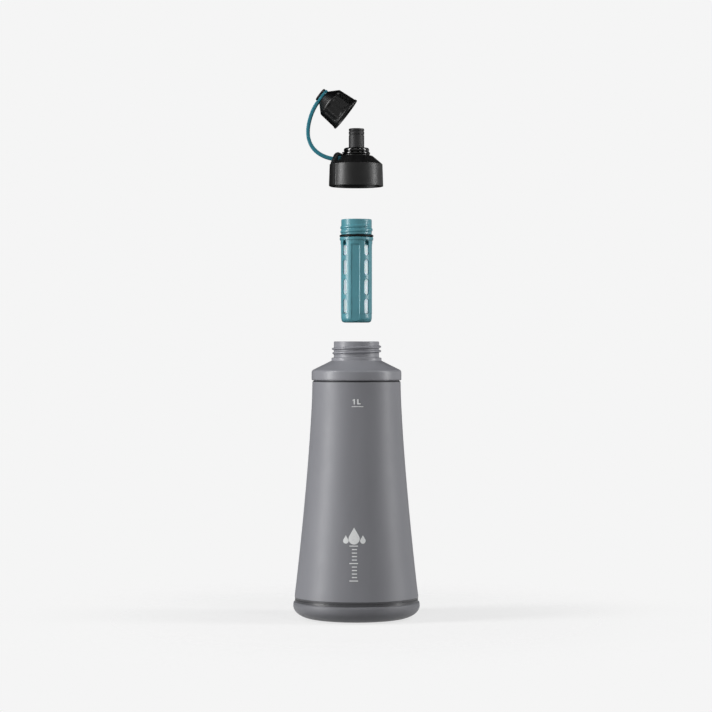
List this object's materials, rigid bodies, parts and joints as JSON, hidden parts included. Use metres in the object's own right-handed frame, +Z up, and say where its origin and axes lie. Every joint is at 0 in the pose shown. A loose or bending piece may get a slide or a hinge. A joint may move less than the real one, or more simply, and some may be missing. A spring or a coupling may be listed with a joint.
{
  "type": "squeeze water filter bottle",
  "caption": "Soft flask with a screw cap, drinking spout, tethered dust cap and a hollow-fibre filter cartridge that screws into the cap.",
  "frame": {"origin": "centre of the flask's underside, on the surface it stands on", "axes": "+Z up along the common axis, +X away from the side that carries the tether, +Y away from the side that carries the printed marks"},
  "size_m": [0.1012, 0.1012, 0.4229],
  "materials": {
    "flask_film": "satin grey soft plastic",
    "flask_neck": "satin grey moulded plastic",
    "filter_plastic": "translucent teal moulded plastic",
    "seal_rubber": "smooth black rubber",
    "potting_resin": "cast resin",
    "fibre_white": "matt white fibres",
    "cap_plastic": "satin black moulded plastic",
    "spout_soft": "matt charcoal silicone",
    "collar_gloss": "glossy black",
    "tether_teal": "satin teal elastomer",
    "dust_cap_plastic": "satin black moulded plastic"
  },
  "bodies": {
    "flask": {"flask_base": "flask_film", "flask_body": "flask_film", "flask_shoulder": "flask_neck"},
    "cap_seal": {"cap_gasket": "seal_rubber"},
    "cap": {"cap_shell": "cap_plastic", "filter_socket": "cap_plastic", "spout_grommet": "seal_rubber", "mouthpiece": "spout_soft", "spout_collar": "collar_gloss", "tether_strap": "tether_teal"},
    "filter_seal": {"filter_o_ring": "seal_rubber"},
    "cartridge": {"filter_head": "filter_plastic", "filter_cage": "filter_plastic", "filter_foot": "filter_plastic", "potting_plug": "potting_resin", "hollow_fibres": "fibre_white"},
    "tether_end": {"tether_ring": "tether_teal"},
    "dust_cover": {"dust_cap": "dust_cap_plastic", "tether_button": "dust_cap_plastic", "dust_cap_liner": "seal_rubber"}
  },
  "joints": [
    {"name": "cap_lift", "type": "slide", "parent": "flask", "child": "cap_seal", "axis": [0, 0, 1], "range_m": [-0.1362, 0.015]},
    {"name": "cap_turn", "type": "hinge", "parent": "cap_seal", "child": "cap", "pos_m": [0, 0, 0.3578], "axis": [0, 0, 1], "range_deg": [-360, 0]},
    {"name": "filter_drop", "type": "slide", "parent": "cap", "child": "filter_seal", "axis": [0, 0, -1], "range_m": [-0.04345, 0.008]},
    {"name": "filter_turn", "type": "hinge", "parent": "filter_seal", "child": "cartridge", "pos_m": [0, 0, 0.3052], "axis": [0, 0, 1], "range_deg": [-360, 0]},
    {"name": "tether_swing", "type": "hinge", "parent": "cap", "child": "tether_end", "pos_m": [-0.0353, 0, 0.3785], "axis": [0, -1, 0], "range_deg": [-52, 15], "stiffness_Nm_per_rad": 0.03, "deforming": ["tether_strap"]},
    {"name": "dust_cap_spin", "type": "hinge", "parent": "tether_end", "child": "dust_cover", "pos_m": [-0.0272, 0, 0.41697], "axis": [-0.788, 0, 0.6157], "continuous": true}
  ]
}
